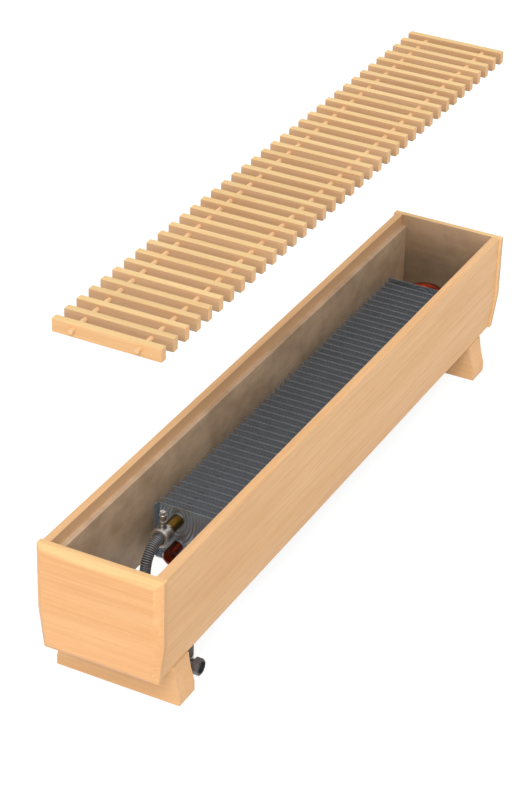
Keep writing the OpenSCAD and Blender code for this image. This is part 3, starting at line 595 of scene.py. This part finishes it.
plateCut = {"wave": 4.4, "deep": 0.7, "sheet": 1.0, "thick": 0.7, "cell": 0.8, "fold": 8.0,
            "centre": {-1: (20, 125), 1: (-3, 105)}, "tall": 0.62, "flat": 1.6, "holeFlat": 1.2, "fade": 1.2,
            "corner": 1.2, "cornerSteps": 4, "inset": 0.5, "nearHole": 0.75, "pulled": 0.45,
            "collar": [(1.3, 0), (0.4, 0.3), (0.1, 0.8), (0.1, 2.2)], "collarSides": 32}


def wavyPlate(name, node, look, cut, face, out):    # out is -1 at the near end and 1 at the far end
    build = Build()
    half, r, low, high = look["width"] / 2, look["hole"], look["low"], look["high"]
    nY, nZ = int(look["width"] / cut["cell"]), int((high - low) / cut["cell"])
    waveY, waveZ = cut["centre"][out]
    points = [(-half + look["width"] * i / nY, low + (high - low) * j / nZ)
              for i in range(nY + 1) for j in range(nZ + 1)]

    def height(y, z):    # the waves fade out towards the edges and the holes
        edge = min(half - abs(y), z - low, high - z) - cut["flat"]
        rims = [math.hypot(y - ty, z - tz) - r - cut["holeFlat"] for ty, tz in look["tubes"]]
        fade = min(max(min(edge, *rims) / cut["fade"], 0), 1)
        away = math.hypot(y - waveY, (z - waveZ) * cut["tall"])
        return cut["deep"] / 2 * math.cos(2 * math.pi * away / cut["wave"]) * fade

    held = {}    # points by a hole, with its middle and their distance from it
    for n, (y, z) in enumerate(points):
        for ty, tz in look["tubes"]:
            d = math.hypot(y - ty, z - tz)
            if d < r + cut["cell"] * cut["nearHole"]:
                held[n] = (ty, tz, d)
    faces = []
    for i in range(nY):
        for j in range(nZ):
            n = i * (nZ + 1) + j
            corners = (n, n + nZ + 1, n + nZ + 2, n + 1)
            if not all(c in held and held[c][2] < r for c in corners):
                faces.append(corners)
    for n in {n for f in faces for n in f} & set(held):    # pulled onto the rim of the hole
        ty, tz, d = held[n]
        if d < r + cut["cell"] * cut["pulled"]:
            points[n] = (ty + (points[n][0] - ty) * r / d, tz + (points[n][1] - tz) * r / d)
    sheetAt, foldAt = face - out * cut["sheet"] / 2, face + out * cut["fold"]
    build.add([(sheetAt + out * height(y, z), y, z) for y, z in points], faces)
    lip, corner, steps = half - cut["inset"], cut["corner"], cut["cornerSteps"]
    arc = [math.pi / 2 * k / steps for k in range(steps, -1, -1)]
    for side in bothSides:    # folded side flanges
        line = [(sheetAt, side * (lip - corner))]
        line += [(sheetAt + out * corner * math.cos(a), side * (lip - corner * (1 - math.sin(a))))
                 for a in arc]
        line.append((foldAt, side * lip))
        for (x0, y0), (x1, y1) in zip(line, line[1:]):
            build.quad((x0, y0, low), (x0, y0, high), (x1, y1, high), (x1, y1, low))
    z = low + cut["inset"]    # lower flange
    build.quad((sheetAt, -half, z), (sheetAt, half, z), (foldAt, half, z), (foldAt, -half, z))
    rollCollars(build, look, cut, sheetAt, "X" if out > 0 else "-X")
    newPiece(name, build, "plate_sheet", "case", node, cut["thick"])


stackFins(exchanger, finCut)
farFace = exchanger["near"] + exchanger["pitch"] * (exchanger["fins"] + 1)
wavyPlate("nearPlateSheet", "near_end_plate", exchanger, plateCut, exchanger["near"], -1)
wavyPlate("farPlateSheet", "far_end_plate", exchanger, plateCut, farFace, 1)
for node, finish, ease in (("copper_tubes", "copper", 0.2), ("far_bends", "copper", 0),
                           ("near_bend", "copper", 0), ("support_bars", "bar_steel", 0.5),
                           ("valve_bracket", "bar_steel", 0.4), ("return_bracket", "bar_steel", 0.4)):
    dressNode(node, finish, ease)
print("exchanger built")


# hose and return pipe; shares are the way from start to end, along each axis
def wayOf(look):
    return [Vector([a + s * (b - a) for a, b, s in zip(look["start"], look["end"], share)])
            for share in look["shares"]]


def pullAt(way, i):
    if i <= 1:
        return way[1] - way[0]
    if i >= len(way) - 2:
        return way[-1] - way[-2]
    return (way[i + 1] - way[i - 1]) / 2


def smoothWay(way, step, parts=60):    # evenly spaced points of the smooth line through the way's points
    fine = []
    for i in range(len(way) - 1):
        p, q = pullAt(way, i), pullAt(way, i + 1)
        for k in range(parts):
            t = k / parts
            fine.append((1 + 2 * t) * (1 - t) ** 2 * way[i] + t * (1 - t) ** 2 * p
                        + t * t * (3 - 2 * t) * way[i + 1] + t * t * (t - 1) * q)
    fine.append(way[-1])
    run = [0]
    for a, b in zip(fine, fine[1:]):
        run.append(run[-1] + (b - a).length)
    count = max(2, round(run[-1] / step))
    spots, k = [], 0
    for n in range(count + 1):
        want = run[-1] * n / count
        while k < len(fine) - 2 and run[k + 1] < want:
            k += 1
        t = (want - run[k]) / (run[k + 1] - run[k])
        spots.append(fine[k].lerp(fine[k + 1], t))
    return spots, run[-1]


def sweptRings(spots, radii, sides):
    rings, across = [], Vector((1, 0, -1))
    for i, spot in enumerate(spots):
        ahead = (spots[min(i + 1, len(spots) - 1)] - spots[max(i - 1, 0)]).normalized()
        across = (across - ahead * across.dot(ahead)).normalized()
        other = ahead.cross(across)
        rings.append([spot + radii[i] * (math.cos(a) * across + math.sin(a) * other)
                      for a in (2 * math.pi * k / sides for k in range(sides))])
    return rings


def pipeWall(build, spots, radii, bore, sides):
    inner = sweptRings(spots, [bore] * len(spots), sides)
    build.rings(sweptRings(spots, radii, sides) + inner[::-1], loop=True)


hoseRun = {"start": (-318, 20, 125), "end": (-400, -50, 22), "radius": 7.0, "bore": 4.8, "rib": 2.4,
           "deep": 0.8, "sharp": 1.6, "stepsPerRib": 6, "sides": 32,
           "shares": [(0, 0, 0), (0.085, 0, 0), (0.254, 0, 0.04), (0.385, 0, 0.15), (0.439, 0, 0.31),
                      (0.528, 0.06, 0.52), (0.671, 0.17, 0.72), (0.824, 0.34, 0.86), (0.956, 0.54, 0.96),
                      (1, 0.77, 1), (1, 1, 1)]}
pipeRun = {"start": (-278, 20, 86), "end": (-350, -14, 46), "radius": 7.5, "bore": 6.5, "step": 2.0,
           "sides": 40,
           "shares": [(0, 0, 0), (0.15, 0, 0), (0.29, 0.08, 0), (0.36, 0.35, 0), (0.39, 0.7, 0.03),
                      (0.5, 0.94, 0.12), (0.66, 1, 0.22), (0.82, 1, 0.29), (0.95, 1, 0.41), (1, 1, 0.65),
                      (1, 1, 1)]}


def ribbedHose(look):
    build = Build()
    spots, length = smoothWay(wayOf(look), look["rib"] / look["stepsPerRib"])
    radii = []
    for i in range(len(spots)):
        turn = 2 * math.pi * (length * i / (len(spots) - 1)) / look["rib"]
        radii.append(look["radius"] - look["deep"] * (0.5 - 0.5 * math.cos(turn)) ** look["sharp"])
    pipeWall(build, spots, radii, look["bore"], look["sides"])
    hose = newPiece("ribbedHose", build, "hose_rubber", "case", "supply_hose")
    crest = hose.data.attributes.new("crest", "FLOAT", "POINT")    # 1 on a rib, 0 between two ribs
    low, high = min(radii), max(radii)
    tones = [(r - low) / (high - low) for r in radii for k in range(look["sides"])]
    crest.data.foreach_set("value", tones + [0.0] * len(tones))
    print("hose length", round(length, 1), "mm")


def copperRun(look):
    build = Build()
    spots = smoothWay(wayOf(look), look["step"])[0]
    pipeWall(build, spots, [look["radius"]] * len(spots), look["bore"], look["sides"])
    newPiece("returnRun", build, "copper", "case", "return_pipe")


ribbedHose(hoseRun)
copperRun(pipeRun)
print("hose and pipe built")


# fittings; a line of points is (outwards from the radius, along the axis), the vent's stem (radius, height)
def ridge(a):
    return 0.5 + 0.5 * math.cos(a)


def outline(line, radius, height=0.0):
    return [(radius + out, height + along) for out, along in line]


hexNuts = {"across": 19.0, "length": 10.0, "gap": 0.3, "wall": 1.0, "coneIn": 0.25, "chamfer": 0.665,
           "ends": (0, 0.2, 0.45, 0.75, 1.1, 1.45, 1.8), "web": 2.0, "bore": 7.5, "mouth": 0.6, "relief": 7.9,
           "reliefTo": 5.6, "tail": 5.6, "threadPitch": 1.3, "thread": 0.4, "sides": 72}


def hexShape(look):    # hexagon cut by a cone at both ends, with a round bore
    flat = look["across"] / 2
    corner, least = flat / math.cos(math.pi / 6), flat - look["coneIn"]

    def shape(a, h, radius):
        if radius < flat - look["wall"]:
            return radius
        wide = flat / math.cos(a % (math.pi / 3) - math.pi / 6)
        edge = max(min(h - look["gap"], look["gap"] + look["length"] - h), 0)
        return min(wide, least + edge * (corner - least) / look["chamfer"])
    return shape


def unionNut(name, node, origin, look):
    build, sides = Build(), look["sides"]
    gap, r, bore, pitch = look["gap"], look["across"] / 2, look["bore"], look["threadPitch"]
    mouth = gap + look["length"]
    outer = [(r, gap + e) for e in look["ends"]] + [(r, mouth - e) for e in reversed(look["ends"])]
    inner = [(bore + look["mouth"], mouth), (bore, mouth - look["mouth"])]
    z = mouth - look["mouth"]
    while z - pitch > look["reliefTo"]:
        inner += [(bore + look["thread"], z - pitch / 2), (bore, z - pitch)]
        z -= pitch
    inner += [(look["relief"], look["reliefTo"]), (look["relief"], gap + look["web"]),
              (look["tail"], gap + look["web"]), (look["tail"], gap)]
    turned(build, outer + inner, placeAt(origin, "-Y"), sides, True, hexShape(look))
    nut = newPiece(name, build, "black_nut", node, node)
    shell = nut.data.attributes.new("shell", "FLOAT", "POINT")    # 1 on the outside, 0 in the bore
    shell.data.foreach_set("value", [1.0] * (sides * len(outer)) + [0.0] * (sides * len(inner)))


for name, node, origin in (("supplyUnionNut", "supply_nut", (-400, -74.5, 22)),
                           ("returnUnionNut", "return_nut", (-350, -31, 30))):
    unionNut(name, node, origin, hexNuts)

valveCap = {"centre": (-400, -62.75, 33.47), "tall": 17.53, "radius": 9.75, "bore": 6.8, "roof": 3.0,
            "boreEase": 0.4, "boreFoot": 0.5, "ribs": 24, "ribDeep": 0.45, "ribSharp": 1.5, "ribRim": 1.3,
            "ribFrom": 1.3, "ribTo": 2.2, "dish": 0.35, "sides": 144,
            "foot": [(-0.5, 0), (-0.05, 0.35), (0, 0.8), (0, 1.25), (0, 1.6)],
            "crown": [(0, -2.6), (0, -2.15), (-0.1, -1.5), (-0.5, -0.7), (-1.3, -0.12), (-2.2, 0), (-4.2, 0),
                      (-4.6, -0.35)]}


def ribbedCap(look):
    build = Build()
    r, tall, bore, ease = look["radius"], look["tall"], look["bore"], look["boreEase"]

    def fluted(a, h, radius):
        if radius < r - look["ribRim"] or h < look["ribFrom"] or h > tall - look["ribTo"]:
            return radius
        return radius - look["ribDeep"] * ridge(look["ribs"] * a) ** look["ribSharp"]
    roof = tall - look["roof"]
    profile = outline(look["foot"], r) + outline(look["crown"], r, tall) + [(0, tall - look["dish"])]
    inside = [(0, roof), (bore - ease, roof), (bore, roof - ease), (bore, look["boreFoot"]), (bore + ease, 0)]
    turned(build, profile + inside, placeAt(look["centre"]), look["sides"], True, fluted)
    newPiece("ribbedCap", build, "cap_plastic", "lockshield_cap", "lockshield_cap")


ribbedCap(valveCap)

hoseRing = {"origin": (-272, 20, 125), "start": 44.0, "length": 5.0, "radius": 12.5, "bore": 8.1,
            "boreEase": 0.5, "notches": 30, "notchDeep": 0.35, "notchRim": 0.9, "notchFrom": 1.4,
            "sides": 120, "end": [(-0.8, 0), (-0.2, 0.3), (0, 0.8), (0, 1.35), (0, 1.7)]}


def ringNut(look):    # light ring with fine notches round its rim
    build = Build()
    start, stop, r, bore = look["start"], look["start"] + look["length"], look["radius"], look["bore"]

    def notched(a, h, radius):
        if radius < r - look["notchRim"] or not start + look["notchFrom"] < h < stop - look["notchFrom"]:
            return radius
        return radius - look["notchDeep"] * ridge(look["notches"] * a)
    profile = outline(look["end"], r, start) + [(r + out, stop - h) for out, h in reversed(look["end"])]
    profile += [(bore + look["boreEase"], stop), (bore, stop - look["boreEase"]), (bore, start)]
    turned(build, profile, placeAt(look["origin"], "-X"), look["sides"], True, notched)
    newPiece("hoseRingNut", build, "ring_steel", "case", "hose_nut")


ringNut(hoseRing)

hoseSleeves = {"at": [((-272, 20, 125), "-X", 46.0), ((-400, -56, 22), "-Y", -11.0)], "radius": 8.05,
               "bore": 7.06, "length": 5, "sides": 48,
               "line": [(-0.35, 0), (0, 0.35), (0, 1.3), (-0.4, 1.55), (-0.4, 2.3), (0, 2.55), (0, 4.65),
                        (-0.35, 5)]}


def crimpedSleeves(look):    # pressed sleeves at both ends of the hose
    build = Build()
    for origin, way, start in look["at"]:
        profile = outline(look["line"], look["radius"], start)
        profile += [(look["bore"], start + look["length"]), (look["bore"], start)]
        turned(build, profile, placeAt(origin, way), look["sides"], True)
    newPiece("crimpedSleeves", build, "dark_sleeve", "case", "hose_ferrules")


crimpedSleeves(hoseSleeves)

ventTap = {"foot": (-310.5, 20, 139), "radius": 4.75, "tall": 16.0, "stem": [(3.0, -4.0), (3.0, 0.7)],
           "pin": 2.35, "pinDeep": 7.0, "pinEase": (0.25, 0.3), "ridges": 20, "ridgeDeep": 0.28,
           "ridgeRim": 0.05, "ridgeFrom": 9.5, "ridgeTo": 1.0, "sides": 100,
           "barrel": [(-0.5, 0.7), (0, 1.1), (0, 7.4), (-0.6, 7.8), (-0.6, 8.9), (0, 9.3), (0, 9.4),
                      (0, 9.8)],
           "crown": [(0, -1.3), (0, -0.9), (-0.1, -0.4), (-0.5, 0)]}


def ventBarrel(look):
    build = Build()
    r, tall, pin, bottom = look["radius"], look["tall"], look["pin"], look["tall"] - look["pinDeep"]

    def ridged(a, h, radius):
        if radius < r - look["ridgeRim"] or not look["ridgeFrom"] < h < tall - look["ridgeTo"]:
            return radius
        return radius - look["ridgeDeep"] * ridge(look["ridges"] * a)
    profile = look["stem"] + outline(look["barrel"], r) + outline(look["crown"], r, tall)
    wide, deep = look["pinEase"]
    profile += [(pin + wide, tall), (pin, tall - deep), (pin, bottom), (0, bottom)]
    turned(build, profile, placeAt(look["foot"]), look["sides"], False, ridged)
    newPiece("ventBarrel", build, "nickel_brass", "case", "vent_body")


ventBarrel(ventTap)

for node, finish, ease in (("supply_header", "fitting_brass", 0.35), ("header_nut", "nickel_brass", 0.35),
                           ("hose_adapter", "nickel_brass", 0.35), ("vent_screw", "ring_steel", 0.25),
                           ("lockshield_body", "nickel_brass", 0.35),
                           ("lockshield_spindle", "fitting_brass", 0.2),
                           ("valve_locknut", "nickel_brass", 0.3), ("return_elbow", "nickel_brass", 0.3),
                           ("nut_seals", "seal_rubber", 0.2)):
    dressNode(node, finish, ease)
print("fittings built")

# screws; the head's line is (share of its width, depth below its top)
# and the turn of a thread is (share of the pitch, 1 on the crest)
screwShape = {"head": [(0, 1.3), (0.19, 1.3), (0.2, 0.1), (0.3, 0), (0.4, 0.12), (0.475, 0.55), (0.5, 1.1)],
              "headSides": 36, "rim": 0.25, "lobes": 6, "lobeDeep": 0.16, "socket": 0.27, "socketTo": -0.2,
              "plain": 0.3, "neck": 0.4, "core": 0.72, "pitch": 0.4,
              "turn": [(0, 0), (0.35, 0), (0.6, 1), (0.85, 0)], "threadSides": 20, "threadTo": 0.8,
              "taper": 0.6, "tip": 0.9}


def screwSolid(build, place, kind, look):
    r, head, length = kind["across"] / 2, kind["head"], kind["length"]
    core, pitch, plain = r * look["core"], kind["across"] * look["pitch"], length * look["plain"]

    def socket(a, h, radius):
        if radius < head * look["socket"] and h < look["socketTo"]:
            return radius * (1 + look["lobeDeep"] * math.cos(look["lobes"] * a))
        return radius
    profile = [(head * share, depth - kind["headTall"]) for share, depth in look["head"]]
    profile += [(head / 2, -look["rim"]), (head / 2 - look["rim"], 0), (r, 0), (r, plain),
                (core, plain + look["neck"])]
    turned(build, profile, place, look["headSides"], False, socket)
    z, thread = plain + look["neck"], []
    while z + pitch < length - kind["across"] * look["threadTo"]:
        thread += [(r if raised else core, z + pitch * share) for share, raised in look["turn"]]
        z += pitch
    thread += [(core, z), (core * look["tip"], length - kind["across"] * look["taper"]), (0, length)]
    turned(build, thread, place, look["threadSides"])


smallScrew = {"across": 3.6, "head": 7, "headTall": 2.4}
screws = {
    "foot_screws": {"name": "footScrews", "across": 5.0, "head": 9.0, "headTall": 3.0, "length": 52.0,
                    "at": [((e * 435.5, s * 69, 26), "Z") for e in bothSides for s in bothSides]},
    "bar_screws": {**smallScrew, "name": "barScrews", "length": 14,
                   "at": [((x, s * 61, z), "Y" if s > 0 else "-Y") for x in (-230, 358.1) for s in bothSides
                          for z in (73, 83)]},
    "plate_screws": {**smallScrew, "name": "plateScrews", "length": 9,
                     "at": [((x, s * 38, 68.5), "-Z") for x in (-276, 404.1) for s in bothSides]},
    "bracket_screws": {**smallScrew, "name": "bracketScrews", "length": 12,
                       "at": [((-415, -41, 22 + k * 6), "-X") for k in bothSides]
                             + [((-350 + k * 7.5, -61, 66), "-Y") for k in bothSides]}}
for node, kind in screws.items():
    build = Build()
    for origin, way in kind["at"]:
        screwSolid(build, placeAt(origin, way), kind, screwShape)
    newPiece(kind["name"], build, "screw_steel", "case", node)
print("screws built")
